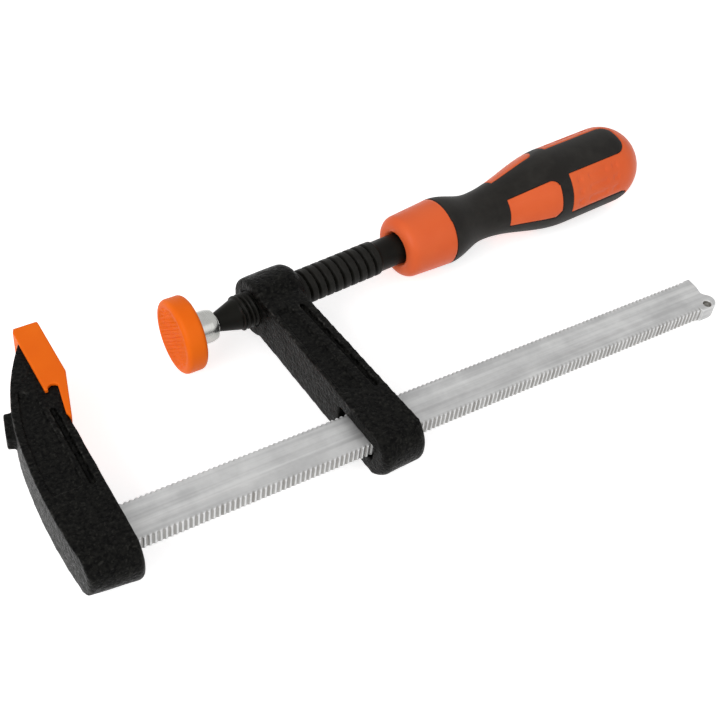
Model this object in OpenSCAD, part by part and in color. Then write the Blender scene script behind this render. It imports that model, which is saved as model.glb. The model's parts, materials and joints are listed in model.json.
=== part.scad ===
// Quick release bar clamp: a toothed bar, a fixed arm at one end, an arm that slides along the bar,
// and a screw spindle with a handle and a swivel pad.
// The origin is on the fixed jaw's clamping face. +X runs along the bar, -Y towards the bar, +Z up.

/* [Bar] */
// Width of the bar across its toothed edges
bar_w = 12.5; // [9:0.5:18]
// Thickness of the bar
bar_t = 4.8; // [3:0.2:7]
// Reach of the bar beyond the fixed jaw's face
bar_reach = 190.5; // [150:0.5:400]
// Pitch of the teeth on the bar's edges
tooth_pitch = 1.5; // [1:0.1:3]
// Depth of the teeth
tooth_depth = 0.45; // [0.2:0.05:0.8]
// Width of the shallow groove along each wide face
bar_groove_w = 4; // [2:0.5:6]
// Depth of that groove
bar_groove_depth = 0.3; // [0.1:0.05:0.8]
// Width of the upset stop nose on the bar's end
nose_w = 6; // [5:0.1:8]
// Length of the nose beyond the bar's end
nose_l = 1.6; // [1:0.1:4]
// Radius of the nose's round end
nose_r = 2.9; // [2:0.1:3]
// Depth of the nick between the nose and the bar's end
nose_nick = 0.6; // [0.5:0.1:2]
// Height of the stop lip under the toothed edge
stop_lip = 0.5; // [0.4:0.1:1.2]
// Length of the stop lip
stop_lip_l = 6.5; // [5:0.5:9]
// From the bar's end to the punch mark that staked the nose
punch_in = 1.9; // [1.5:0.1:3]
// Radius of that punch mark
punch_r = 1.4; // [1:0.1:1.8]
// Radius of the punch mark's floor
punch_floor_r = 1; // [0.5:0.1:1]
// Depth of the punch mark
punch_depth = 1.2; // [0.4:0.1:1.6]

/* [Fixed arm] */
// Throat: from the bar's inner edge to the screw's axis
throat = 50; // [40:1:80]
// Thickness of both cast arms
arm_t = 14.8; // [11:0.1:20]
// Depth of the fixed arm along the bar
fixed_arm_w = 16.2; // [12:0.1:22]
// Setback of the fixed arm's front from the clamping face
jaw_reach = 5; // [4:0.1:8]
// Height of the fixed jaw's tip above the screw's axis
jaw_top = 13.6; // [11:0.1:18]
// Height of the fixed jaw's flat below the screw's axis
jaw_flat_low = 7; // [5:0.1:10]
// Length of the ramp from the jaw's flat to the arm's front
jaw_ramp = 13.5; // [8:0.5:18]
// Width of the casting at the fixed jaw's tip
jaw_tip_w = 2.7; // [2:0.1:4]
// Radius of the back's long lower curve
low_back_r = 184; // [150:1:260]
// Where that curve stands out furthest, below the screw's axis
back_low = 45; // [42:1:50]
// Where the back's tighter upper curve starts, below the screw's axis
back_turn = 24; // [20:1:30]
// Casting below the bar's outer edge, at the arm's front
fixed_heel = 8.2; // [7.5:0.1:10]
// Slope of the fixed arm's lower end, in degrees
fixed_heel_slope = 6.4; // [0:0.1:10]
// Radius of the fixed arm's lower corners
fixed_heel_r = 2; // [0.5:0.1:2.4]
// Radius that rounds both arms' lower ends from side to side
heel_round = 8.5; // [8:0.1:12]
// Casting left behind the bar's seated end
fixed_back_wall = 2; // [1:0.1:4]
// Thickness of the lug on the arm's back
lug_t = 5; // [3:0.5:8]
// Height of the lug above the arm's back
lug_h = 2.3; // [1:0.1:3]
// Lower end of the lug, below the screw's axis
lug_low = 18.8; // [16:0.1:22]
// Height of the lug along the back
lug_l = 9.7; // [6:0.1:11]
// How far each end of the lug slopes
lug_slope = 0.8; // [0.3:0.1:1.5]

/* [Relief in the castings] */
// Depth of the web between the flanges
web_depth = 0.9; // [0.3:0.1:2]
// Depth of the narrow groove beside the flange
groove_depth = 1.5; // [0.5:0.1:2.5]
// Width of that groove
groove_w = 1.6; // [1:0.1:2.2]
// Width of the flange at the groove
flange_w = 2.2; // [1.5:0.1:3]
// Width of the fixed arm's rib between groove and web
rib_w = 1.6; // [1:0.1:3]
// Width of the sliding arm's rib between groove and web
slide_rib_w = 3.2; // [2:0.1:4]
// Width of the sliding arm's flange on the jaw side
slide_flange_w = 1.4; // [1:0.1:2]
// From the bar to the fixed arm's web and groove
relief_low_gap = 6; // [4:0.5:10]
// From the cap's side to the fixed arm's groove
relief_high_gap = 6; // [4:0.5:8]
// From the boss to the sliding arm's web
boss_web_gap = 1.5; // [1:0.1:5]
// From the slot to the sliding arm's web
slot_web_gap = 3; // [2:0.5:8]
// How far the sliding arm's groove runs past the slot's upper end
groove_over = 1; // [0:0.1:2]

/* [Fixed jaw cap] */
// Thickness of the cap on the clamping face
cap_t = 2; // [1:0.1:3]
// Thickness of the cap's sides and end
cap_side_t = 1.1; // [0.8:0.1:2]
// Depth of the cap's sides, back from the clamping face
cap_side_w = 7.6; // [6:0.1:9]
// Height of the cap's sides below the screw's axis
cap_side_low = 11.4; // [9:0.1:13]
// Radius of the cap's front edge
cap_edge_r = 0.5; // [0.3:0.1:1]
// Depth of the chamfer on the cap's rear corner
cap_chamfer = 0.6; // [0.4:0.1:1.5]
// Width of the prong at the rear of each side
prong_w = 0.8; // [0.5:0.1:1.2]
// Radius of the arch between the prong and the face
arch_r = 1.65; // [1:0.05:1.8]
// Thickness of the cap's strip at its lower end
strip_t = 0.4; // [0.3:0.1:0.8]
// How far the cap's sides lap over the arm at that end
strip_lap = 0.5; // [0:0.1:1]

/* [Sliding arm] */
// Place of the sliding arm along the bar
arm_x = 67; // [55:1:120]
// Lean of the sliding arm in its slot, in degrees
arm_lean = 4.1; // [0:0.1:6]
// Lift of the sliding arm in its slot
arm_lift = 0.3; // [0:0.1:1]
// Width of the sliding arm at the bar
arm_w = 14.4; // [12:0.1:18]
// Taper of the sliding arm's outer side towards the boss
arm_taper = 1; // [0:0.1:2]
// Taper of the sliding arm's jaw side towards the boss
arm_in_taper = 0.8; // [0:0.1:1]
// Casting below the slot
arm_heel = 6.4; // [6:0.1:9]
// Radius of the arm's lower corners
arm_heel_r = 2.2; // [1:0.1:4]
// Gap between the bar and the slot's upper end
slot_high_gap = 2.9; // [0.5:0.1:4]
// Gap between the bar and the slot's lower end
slot_low_gap = 0.35; // [0.2:0.05:2]
// Gap between the bar and each side of the slot
slot_side_gap = 0.4; // [0.2:0.05:1]
// Radius of the boss around the screw
boss_r = 9.3; // [8:0.1:12]
// Length of the boss on the jaw side of the arm's middle
boss_in_l = 6.8; // [6.7:0.1:12]
// Length of the boss on the handle side of the arm's middle
boss_out_l = 9.4; // [8:0.1:14]
// Radius of the boss's rounded end on the jaw side
boss_in_round = 1.2; // [0.5:0.1:3.8]
// Radius of the boss's rounded end on the handle side
boss_out_round = 3.6; // [1:0.1:3.8]

/* [Spindle] */
// Crest radius of the screw
screw_r = 5.5; // [5:0.05:5.7]
// Pitch of the screw
screw_pitch = 3; // [2:0.1:4]
// Depth of the thread
thread_depth = 0.9; // [0.4:0.05:1.2]
// Length of thread on the handle side of the boss
thread_out = 29.5; // [15:0.5:60]
// Radius of the plain shank behind the thread
shank_r = 4.95; // [4:0.05:5]
// Length of plain shank in sight
shank_l = 8; // [2:0.5:12]
// Depth of the shank's seat in the handle
tang_l = 38; // [20:1:60]
// Length of the cone between the thread and the neck
cone_l = 6.8; // [4:0.1:10]
// Radius of the cone's large end
cone_r = 4.8; // [4:0.05:5.1]
// Radius of the neck behind the ball
neck_r = 2.8; // [1.8:0.1:2.8]
// Radius of the ball
ball_r = 4; // [3.8:0.1:4.4]
// From the ball's centre to the neck's end
neck_l = 3; // [2.9:0.1:6]
// Thread in sight on the jaw side of the boss
thread_in = 5.2; // [1:0.1:8]

/* [Swivel pad] */
// Radius of the pad's cap
pad_r = 11.4; // [9.5:0.1:14]
// Thickness of the pad's cap
pad_t = 6.5; // [5.6:0.1:9]
// Radius of the cap's rounded rims
pad_round = 1.1; // [0.3:0.1:1.2]
// Thickness of the cap's clamping face
pad_face_t = 2.6; // [1.5:0.1:3]
// Wall of the cap around the steel plate
pad_wall = 1.6; // [1:0.1:2.5]
// Thickness of the steel plate inside the cap
plate_t = 2.2; // [1:0.1:2.3]
// Outer radius of the round hub about the ball
hub_r = 4.95; // [4.8:0.05:6]
// Height of the hub's mouth above the ball's centre
hub_mouth = 2.2; // [2:0.1:2.4]
// From the cap's back to the ball's centre
ball_out = 4.4; // [4.2:0.1:6]

/* [Handle] */
// Length of the handle
handle_l = 100.7; // [80:0.1:140]
// Length of the collar
collar_l = 17; // [12:0.1:24]
// Radius of the collar's front
collar_front_r = 10; // [9:0.1:12]
// Largest radius of the collar
collar_r = 11; // [9.5:0.1:13]
// Radius of the collar's front edge
collar_round = 3; // [1:0.1:3.5]
// Radius of the countersink around the shank
recess_r = 5.8; // [5.2:0.1:6.4]
// Depth of that countersink
recess_depth = 1.6; // [0.5:0.1:5]
// Radius of the handle's waist
waist_r = 8; // [7.2:0.05:9]
// Place of the waist, from the handle's front
waist_u = 31.6; // [28:0.1:38]
// Largest radius of the handle
swell_r = 13.3; // [11:0.1:16]
// Place where the swell is reached
swell_u = 65; // [58:0.1:72]
// Length of the rounded butt
butt_l = 13; // [8:0.1:18]
// Thickness of the soft grip
grip_t = 1.6; // [1:0.1:2]
// Start of the first panels, from the handle's front
panel_u = 40.7; // [38:0.1:48]
// Start of the grip's ring between the panels
ring_u = 59.8; // [56:0.1:66]
// Width of that ring
ring_w = 4.5; // [3:0.1:8]
// End of the grip's fingers
finger_end = 90.8; // [80:0.1:100]
// Width of each finger, in degrees
finger_angle = 58; // [30:1:80]
// Corner radius of the fingers' ends
finger_round = 4; // [1:0.1:5]
// Turn of the fingers about the handle, in degrees
finger_turn = 95; // [0:1:119]
// Number of fingers
fingers = 3; // [2:1:4]

/* [Fits] */
// Running clearance, radial
run_gap = 0.05; // [0.02:0.01:0.1]
// Clearance between pieces that stay together
seat_gap = 0.05; // [0:0.01:0.1]

/* [Hidden] */
$fn = 96;
eps = 0.01;
far = 60;
// Where a notch starts, reaches its floor, leaves it and ends, as shares of a tooth's pitch
notch = [0, 0.3, 0.5, 0.8];
// Where a thread's ring starts, ends, and where its root starts and ends, as shares of the pitch
ring = [0.1, 0.4, 0.6, 0.9];
// Steps of the angle along the handle's butt, and where the grip's sleeve ends on it
butt_step = 7.5;
sleeve_a = 45;
// Where the nose's round end and the cap's arch end, as angles on their arcs
nose_end_a = 60;
arch_start_a = 170;
arch_end_a = 30;
// How far outside the swell a finger's sides meet those of its end
end_over = 0.05;
// How far the arms' lower round runs up each side, as an angle: past the casting's side faces
heel_a = 70;

bar_in_y = -throat;
bar_out_y = bar_in_y - bar_w;
fixed_front_x = -jaw_reach;
fixed_back_x = fixed_front_x - fixed_arm_w;
fixed_low_y = bar_out_y - fixed_heel;
bar_start_x = fixed_back_x + fixed_back_wall;

jaw_x = -cap_t;
tip_y = jaw_top - cap_side_t;
tip_x = jaw_x - jaw_tip_w;
ramp_low_y = -jaw_flat_low - jaw_ramp;
cap_low_y = ramp_low_y - cap_t;
cap_half_t = arm_t / 2 + cap_side_t;
cap_side_x = -cap_side_w;

// The back is two arcs that meet at back_turn: the upper one passes through the jaw's tip
turn_a = 180 - asin((back_low - back_turn) / low_back_r);
low_back_c = [fixed_back_x + low_back_r, -back_low];
turn_x = low_back_c[0] + low_back_r * cos(turn_a);
tip_off = [tip_x - turn_x, tip_y + back_turn];
back_r = (pow(tip_off[0], 2) + pow(tip_off[1], 2)) / 2 / (tip_off[1] * -sin(turn_a) - tip_off[0] * cos(turn_a));
back_c = [turn_x - back_r * cos(turn_a), -back_turn - back_r * sin(turn_a)];

boss_in_x = -boss_in_l;
boss_out_x = boss_out_l;
slot_half_t = bar_t / 2 + slot_side_gap;
slot_top_y = (bar_in_y - arm_lift + arm_w / 2 * sin(arm_lean)) / cos(arm_lean) + slot_high_gap;
slot_low_y = (bar_out_y - arm_lift - arm_w / 2 * sin(arm_lean)) / cos(arm_lean) - slot_low_gap;
arm_low_y = slot_low_y - arm_heel;

thread_in_x = boss_in_x - thread_in;
thread_out_x = boss_out_x + thread_out;
shank_x = thread_out_x + shank_l;
root_r = screw_r - thread_depth;
neck_x = thread_in_x - cone_l;
ball_x = neck_x - neck_l;
ball_pos = [arm_x + ball_x * cos(arm_lean), arm_lift + ball_x * sin(arm_lean), 0];
socket_r = ball_r + run_gap;

pad_back_x = -ball_out;
pad_face_x = pad_back_x - pad_t;
plate_r = pad_r - pad_wall;
plate_face_x = pad_face_x + pad_face_t;
plate_back_x = plate_face_x + plate_t;

bore_r = shank_r + seat_gap;
butt_u = handle_l - butt_l;

// Points of an arc about c, from angle a0 to a1
function arc(c, r, a0, a1, steps = 8) =
    [for (i = [0:steps]) let (a = a0 + (a1 - a0) * i / steps) c + r * [cos(a), sin(a)]];

// Smooth blend from 0 to 1
function ease(t) = (1 - cos(180 * t)) / 2;

// Value between a and b
function mix(a, b, t) = a + (b - a) * t;

// Outer radius of the handle at u from its front
function handle_r(u) =
    u < collar_round ? mix(collar_front_r, collar_r, u / collar_l) - collar_round
                       + sqrt(pow(collar_round, 2) - pow(collar_round - u, 2)) :
    u < collar_l ? mix(collar_front_r, collar_r, u / collar_l) :
    u < waist_u ? mix(collar_r, waist_r, ease((u - collar_l) / (waist_u - collar_l))) :
    u < swell_u ? mix(waist_r, swell_r, ease((u - waist_u) / (swell_u - waist_u))) :
    u < butt_u ? swell_r :
    swell_r * sqrt(max(0, 1 - pow((u - butt_u) / butt_l, 2)));

// Puts children in the sliding arm's frame: x along the screw, y from the bar to the boss
module at_arm() {
    translate([arm_x, arm_lift, 0])
        rotate([0, 0, arm_lean])
            children();
}

// Turns a profile of [x, radius] points about the x axis
module turned(profile) {
    rotate([0, 90, 0])
        rotate([0, 0, 90])
            rotate_extrude()
                polygon([for (p = profile) [p[1], p[0]]]);
}

// Extrudes an outline evenly to both sides of the mid-plane
module slab(thickness) {
    translate([0, 0, -thickness / 2])
        linear_extrude(height = thickness)
            children();
}

// A straight groove with round ends between two points
module groove(a, b, width) {
    turn = atan2(b[1] - a[1], b[0] - a[0]);
    polygon(concat(
        arc(b, width / 2, turn - 90, turn + 90),
        arc(a, width / 2, turn + 90, turn + 270)
    ));
}

// Cuts children into both side faces of an arm, to a depth
module side_relief(depth) {
    for (side = [-1, 1])
        translate([0, 0, side * arm_t / 2])
            slab(2 * depth)
                children();
}

// ---- Bar ----

// One edge of teeth: a row of flat-bottomed notches from x0 to x1, opening towards dir
function teeth(x0, x1, y, dir) =
    let (count = floor((x1 - x0) / tooth_pitch))
    [for (i = [0:count - 1], k = [0:3])
        [x0 + (i + notch[k]) * tooth_pitch, y - dir * [0, 1, 1, 0][k] * tooth_depth]];

function reversed(list) = [for (i = [len(list) - 1:-1:0]) list[i]];

module bar_outline() {
    nose_x = bar_reach + nose_l;
    nose_top_y = bar_out_y + nose_w;
    lip_x = nose_x - stop_lip_l;
    lip_y = bar_out_y - stop_lip;
    polygon(concat(
        [[bar_start_x, bar_out_y]],
        teeth(fixed_front_x, lip_x - stop_lip, bar_out_y, -1),
        [[lip_x - stop_lip, bar_out_y], [lip_x, lip_y]],
        arc([nose_x - nose_r, lip_y + nose_r], nose_r, -90, nose_end_a, 14),
        [[bar_reach - nose_nick, nose_top_y], [bar_reach, nose_top_y + nose_r], [bar_reach, bar_in_y]],
        reversed(teeth(fixed_front_x, bar_reach - tooth_pitch, bar_in_y, 1)),
        [[bar_start_x, bar_in_y]]
    ));
}

module bar() {
    groove_low_y = bar_in_y - bar_w / 2 - bar_groove_w / 2;
    color("lightgray")
        difference() {
            slab(bar_t)
                bar_outline();
            for (side = [-1, 1])
                translate([bar_start_x - eps, groove_low_y, side * bar_t / 2 - bar_groove_depth])
                    cube([bar_reach - bar_start_x - nose_w, bar_groove_w, 2 * bar_groove_depth]);
            translate([bar_reach - punch_in, bar_out_y + punch_r, bar_t / 2 - punch_depth])
                cylinder(r1 = punch_floor_r, r2 = punch_r, h = punch_depth + eps);
        }
}

// ---- Fixed arm and its cap ----

// Angles at which the back's upper and lower curves pass the height y
function back_a(y) = 180 - asin((y - back_c[1]) / back_r);
function low_back_a(y) = 180 - asin((y - low_back_c[1]) / low_back_r);

// Points down the back from y1 to y0, a skin's thickness inside it
function back_line(y1, y0, skin) = concat(
    arc(back_c, back_r - skin, back_a(y1), turn_a, 14),
    arc(low_back_c, low_back_r - skin, turn_a, low_back_a(y0), 12)
);

module fixed_outline() {
    front_y = fixed_low_y + fixed_heel_r;
    back_y = front_y + (fixed_arm_w - 2 * fixed_heel_r) * tan(fixed_heel_slope);
    back_x = low_back_c[0] + low_back_r * cos(low_back_a(back_y)) + fixed_heel_r;
    polygon(concat(
        arc([fixed_front_x - fixed_heel_r, front_y], fixed_heel_r, -90 - fixed_heel_slope, 0),
        [[fixed_front_x, ramp_low_y], [jaw_x, -jaw_flat_low], [jaw_x, tip_y]],
        back_line(tip_y, back_y + eps, 0),
        arc([back_x, back_y], fixed_heel_r, 180, 270 - fixed_heel_slope)
    ));
}

// The lug on the back of the jaw, with sloping ends
module lug_outline() {
    low_a = back_a(-lug_low);
    high_a = back_a(lug_l - lug_low);
    slope_a = asin(lug_slope / back_r);
    polygon(concat(
        arc(back_c, back_r + lug_h, high_a + slope_a, low_a - slope_a),
        [back_c + (back_r - lug_h) * [cos(low_a), sin(low_a)],
         back_c + (back_r - lug_h) * [cos(high_a), sin(high_a)]]
    ));
}

// Keeps what lies above an arm's lower end, which is round from side to side and passes a low point
module round_heel(low, slope = 0) {
    intersection() {
        children();
        translate([low[0], low[1], 0])
            rotate([0, 0, -slope])
                translate([-far, 0, 0])
                    rotate([90, 0, 90])
                        linear_extrude(height = 2 * far)
                            polygon(concat(
                                arc([heel_round, 0], heel_round, 180 - heel_a, 180 + heel_a, 16),
                                [[2 * far, -heel_round * sin(heel_a)], [2 * far, heel_round * sin(heel_a)]]
                            ));
    }
}

module fixed_arm() {
    groove_x = fixed_front_x - flange_w - groove_w / 2;
    web_x = groove_x - groove_w / 2 - rib_w;
    relief_low_y = bar_in_y + relief_low_gap;
    color("dimgray")
        difference() {
            union() {
                round_heel([fixed_front_x, fixed_low_y], fixed_heel_slope)
                    slab(arm_t)
                        fixed_outline();
                slab(lug_t)
                    lug_outline();
            }
            side_relief(groove_depth)
                groove([groove_x, relief_low_y], [groove_x, -cap_side_low - relief_high_gap], groove_w);
            side_relief(web_depth)
                polygon(concat(
                    [[web_x, relief_low_y], [web_x, -cap_side_low]],
                    back_line(-jaw_flat_low, relief_low_y, flange_w)
                ));
            translate([bar_start_x - seat_gap, bar_out_y - seat_gap, -bar_t / 2 - seat_gap])
                cube([far, bar_w + 2 * seat_gap, bar_t + 2 * seat_gap]);
        }
}

// Outer outline of the cap: face, ramp, end and sides
module cap_outline() {
    polygon(concat(
        [[fixed_front_x, cap_low_y], [fixed_front_x + strip_t, cap_low_y], [0, -jaw_flat_low]],
        arc([-cap_edge_r, jaw_top - cap_edge_r], cap_edge_r, 0, 90, 4),
        [[cap_side_x + cap_chamfer, jaw_top], [cap_side_x, jaw_top - 2 * cap_chamfer],
         [cap_side_x, -cap_side_low], [cap_side_x + prong_w, -cap_side_low]],
        arc([cap_side_x + prong_w + arch_r, -cap_side_low], arch_r, arch_start_a, arch_end_a),
        [[fixed_front_x - strip_lap, ramp_low_y]]
    ));
}

module fixed_jaw_cap() {
    color("orangered")
        difference() {
            slab(2 * cap_half_t)
                cap_outline();
            slab(arm_t)
                fixed_outline();
        }
}

// ---- Sliding arm ----

module sliding_outline() {
    in_x = -arm_w / 2;
    out_x = arm_w / 2;
    polygon(concat(
        arc([in_x + arm_heel_r, arm_low_y + arm_heel_r], arm_heel_r, 180, 270),
        arc([out_x - arm_heel_r, arm_low_y + arm_heel_r], arm_heel_r, 270, 360),
        [[out_x - arm_taper, 0], [in_x + arm_in_taper, 0]]
    ));
}

// The boss: a barrel with rounded ends
module boss() {
    turned(concat(
        [[boss_in_x, 0]],
        arc([boss_in_x + boss_in_round, boss_r - boss_in_round], boss_in_round, 180, 90),
        arc([boss_out_x - boss_out_round, boss_r - boss_out_round], boss_out_round, 90, 0),
        [[boss_out_x, 0]]
    ));
}

module sliding_arm() {
    groove_x = arm_w / 2 - flange_w - groove_w / 2;
    groove_low_y = slot_top_y - groove_over;
    web_x = groove_x - groove_w / 2 - slide_rib_w;
    web_in_x = -arm_w / 2 + slide_flange_w;
    web_top_y = -boss_r - boss_web_gap;
    color("dimgray")
        at_arm()
            difference() {
                union() {
                    round_heel([0, arm_low_y])
                        slab(arm_t)
                            sliding_outline();
                    boss();
                }
                side_relief(groove_depth)
                    groove([groove_x, groove_low_y], [groove_x - arm_taper, web_top_y - groove_w], groove_w);
                side_relief(web_depth)
                    polygon([[web_in_x, slot_top_y + slot_web_gap], [web_x, groove_low_y],
                             [web_x - arm_taper / 2, web_top_y], [web_in_x + arm_in_taper, web_top_y]]);
                translate([-far, slot_low_y, -slot_half_t])
                    cube([2 * far, slot_top_y - slot_low_y, 2 * slot_half_t]);
                translate([-far, 0, 0])
                    rotate([0, 90, 0])
                        cylinder(r = screw_r + run_gap, h = 2 * far);
            }
}

// ---- Spindle ----

// Rings at the thread's pitch
function thread_profile() =
    let (count = floor((thread_out_x - thread_in_x) / screw_pitch) - 1)
    [for (i = [0:count], k = [0:3])
        [thread_in_x + (i + ring[k]) * screw_pitch, [screw_r, screw_r, root_r, root_r][k]]];

module spindle() {
    color("dimgray")
        at_arm()
            turned(concat(
                [[neck_x, 0], [neck_x, neck_r], [thread_in_x, cone_r]],
                thread_profile(),
                [[thread_out_x, shank_r], [shank_x + tang_l, shank_r], [shank_x + tang_l, 0]]
            ));
}

module spindle_ball() {
    color("silver")
        translate(ball_pos)
            rotate([0, 0, arm_lean])
                rotate([0, 90, 0])
                    intersection() {
                        union() {
                            sphere(r = ball_r);
                            cylinder(r = neck_r, h = far);
                        }
                        translate([-far, -far, neck_l - 2 * far])
                            cube(2 * far);
                    }
}

// ---- Swivel pad, square to the bar ----

module swivel_plate() {
    color("silver")
        translate(ball_pos)
            difference() {
                turned(concat(
                    [[plate_face_x, 0], [plate_face_x, plate_r - seat_gap],
                     [plate_back_x, plate_r - seat_gap], [plate_back_x, hub_r]],
                    arc([0, 0], hub_r, 90, acos(hub_mouth / hub_r), 10),
                    [[hub_mouth, 0]]
                ));
                rotate([0, 90, 0])
                    sphere(r = socket_r);
            }
}

module pad_cap() {
    color("orangered")
        translate(ball_pos)
            difference() {
                turned(concat(
                    [[pad_face_x, 0]],
                    arc([pad_face_x + pad_round, pad_r - pad_round], pad_round, 180, 90, 5),
                    arc([pad_back_x - pad_round, pad_r - pad_round], pad_round, 90, 0, 5),
                    [[pad_back_x, 0]]
                ));
                turned([[plate_face_x, 0], [plate_face_x, plate_r],
                        [plate_back_x + seat_gap, plate_r], [plate_back_x + seat_gap, 0]]);
                translate([plate_face_x, 0, 0])
                    rotate([0, 90, 0])
                        cylinder(r = hub_r + seat_gap, h = far);
            }
}

// ---- Handle ----

module handle_body() {
    turned(concat(
        [[0, 0]],
        [for (i = [0:5]) let (u = collar_round * i / 6) [u, handle_r(u)]],
        [[collar_round, handle_r(collar_round)], [collar_l, collar_r]],
        handle_side(collar_l, butt_u, 0),
        [for (a = [butt_step:butt_step:90]) [butt_u + butt_l * sin(a), swell_r * cos(a)]]
    ));
}

// Points along the handle's side, a skin's thickness below its surface
function handle_side(u0, u1, skin, steps = 36) =
    [for (i = [0:steps]) let (u = mix(u0, u1, i / steps)) [u, handle_r(u) - skin]];

// The grip's sleeve before its panels are cut
module grip_sleeve() {
    turned(concat(
        handle_side(collar_l, butt_u, 0),
        reversed(handle_side(collar_l, butt_u, grip_t))
    ));
    turned(concat(
        [[butt_u - eps, swell_r - grip_t]],
        [for (a = [0:butt_step:sleeve_a]) [butt_u + butt_l * sin(a), swell_r * cos(a)]],
        [[butt_u + butt_l * sin(sleeve_a), (swell_r - grip_t) * cos(sleeve_a)]]
    ));
}

// The grip's pattern: a sleeve on the waist, a ring, and fingers with round ends
module grip_pattern() {
    translate([collar_l, 0, 0])
        rotate([0, 90, 0])
            cylinder(r = far, h = panel_u - collar_l);
    translate([ring_u, 0, 0])
        rotate([0, 90, 0])
            cylinder(r = far, h = ring_w);
    for (i = [0:fingers - 1])
        rotate([finger_turn + i * 360 / fingers, 0, 0])
            finger();
}

// One finger, along +Y: a sector, then a flat-sided end with round corners
module finger() {
    corner_u = finger_end - finger_round;
    half = finger_angle / 2;
    end_w = 2 * (swell_r + end_over) * sin(half);
    translate([panel_u - eps, 0, 0])
        rotate([90, 0, 90])
            linear_extrude(height = corner_u - panel_u + 2 * eps)
                polygon([[0, 0], far * [cos(half), -sin(half)], far * [cos(half), sin(half)]]);
    rotate([-90, 0, 0])
        linear_extrude(height = far)
            polygon(concat(
                [[corner_u - eps, end_w / 2], [corner_u - eps, -end_w / 2]],
                arc([corner_u, finger_round - end_w / 2], finger_round, -90, 0),
                arc([corner_u, end_w / 2 - finger_round], finger_round, 0, 90)
            ));
}

module grip_shape() {
    intersection() {
        grip_sleeve();
        grip_pattern();
    }
}

module at_handle() {
    at_arm()
        translate([shank_x, 0, 0])
            children();
}

module handle_core() {
    color("orangered")
        at_handle()
            difference() {
                handle_body();
                grip_shape();
                rotate([0, 90, 0])
                    cylinder(r = bore_r, h = tang_l + seat_gap);
                translate([-eps, 0, 0])
                    rotate([0, 90, 0])
                        cylinder(r1 = recess_r, r2 = bore_r, h = recess_depth);
            }
}

module handle_grip() {
    color("#2b2826")
        at_handle()
            grip_shape();
}

bar();
fixed_arm();
fixed_jaw_cap();
sliding_arm();
spindle();
spindle_ball();
swivel_plate();
pad_cap();
handle_core();
handle_grip();
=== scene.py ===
import json
import math

import bmesh
import bpy
import numpy as np
from mathutils import Matrix, Vector, noise


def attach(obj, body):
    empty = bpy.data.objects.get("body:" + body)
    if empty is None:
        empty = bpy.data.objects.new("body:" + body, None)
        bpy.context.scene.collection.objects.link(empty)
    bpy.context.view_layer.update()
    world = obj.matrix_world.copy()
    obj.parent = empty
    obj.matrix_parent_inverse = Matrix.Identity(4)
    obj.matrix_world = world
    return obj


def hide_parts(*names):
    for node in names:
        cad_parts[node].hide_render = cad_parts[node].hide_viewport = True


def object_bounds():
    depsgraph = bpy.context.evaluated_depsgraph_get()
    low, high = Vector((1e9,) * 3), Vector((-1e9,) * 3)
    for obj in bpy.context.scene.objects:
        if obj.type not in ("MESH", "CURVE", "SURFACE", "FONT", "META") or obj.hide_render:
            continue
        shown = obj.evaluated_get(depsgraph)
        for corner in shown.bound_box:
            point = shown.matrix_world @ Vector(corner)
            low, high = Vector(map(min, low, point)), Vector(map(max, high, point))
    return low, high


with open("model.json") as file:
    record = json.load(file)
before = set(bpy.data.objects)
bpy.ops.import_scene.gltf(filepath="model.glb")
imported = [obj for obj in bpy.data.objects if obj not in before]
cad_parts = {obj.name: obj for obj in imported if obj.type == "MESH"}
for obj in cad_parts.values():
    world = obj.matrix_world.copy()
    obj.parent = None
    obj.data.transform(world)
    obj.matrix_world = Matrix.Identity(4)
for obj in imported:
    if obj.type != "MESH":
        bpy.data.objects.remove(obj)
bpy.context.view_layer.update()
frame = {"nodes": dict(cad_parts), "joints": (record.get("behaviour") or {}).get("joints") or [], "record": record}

MM = 0.001
TURN = 2 * math.pi

# ---- Camera: the photograph's viewpoint ----
CAM_AZIMUTH = math.radians(-37.07)
CAM_ELEVATION = math.radians(47.12)
CAM_ROLL = math.radians(8.36)
CAM_TARGET = Vector((79.31, -32.43, 0)) * MM
CAM_DISTANCE = 379.45 * MM
CAM_LENS = 65.32

# ---- Sizes in millimetres, the same as the CAD's ----
BAR_IN_Y = -50
BAR_OUT_Y = -62.5
BAR_HALF_T = 2.4
GROOVE_Y = -56.25
GROOVE_HALF_W = 2
TOOTH_PITCH = 1.5
TEETH_START_X = -5
TEETH_END_X = 185
PUNCH = (188.6, -61.1)
PUNCH_R = 1.4

FIXED_FRONT_X = -5
FIXED_LOW_Y = -70.7
FIXED_HEEL_SLOPE = math.radians(6.4)
ARM_HALF_W = 7.2
ARM_LOW_Y = -70.2
HEEL_ROUND = 8.5
HEEL_CORNER = 2.4

NECK_X = -18.8
NECK_R = 2.8
CONE_R = 4.8
THREAD_IN_X = -12
THREAD_OUT_X = 38.9
SCREW_R = 5.5
SCREW_PITCH = 3
SHANK_R = 4.95
SHANK_X = 46.9
TANG_L = 38
BORE_R = 5.55

BALL_OUT = 4.4
PAD_R = 11.4
PAD_T = 6.5
PAD_FACE_T = 2.6
PLATE_R = 9.8
PLATE_T = 2.2
HUB_R = 4.95
HUB_MOUTH = 2.2
SOCKET_R = 4.05

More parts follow.
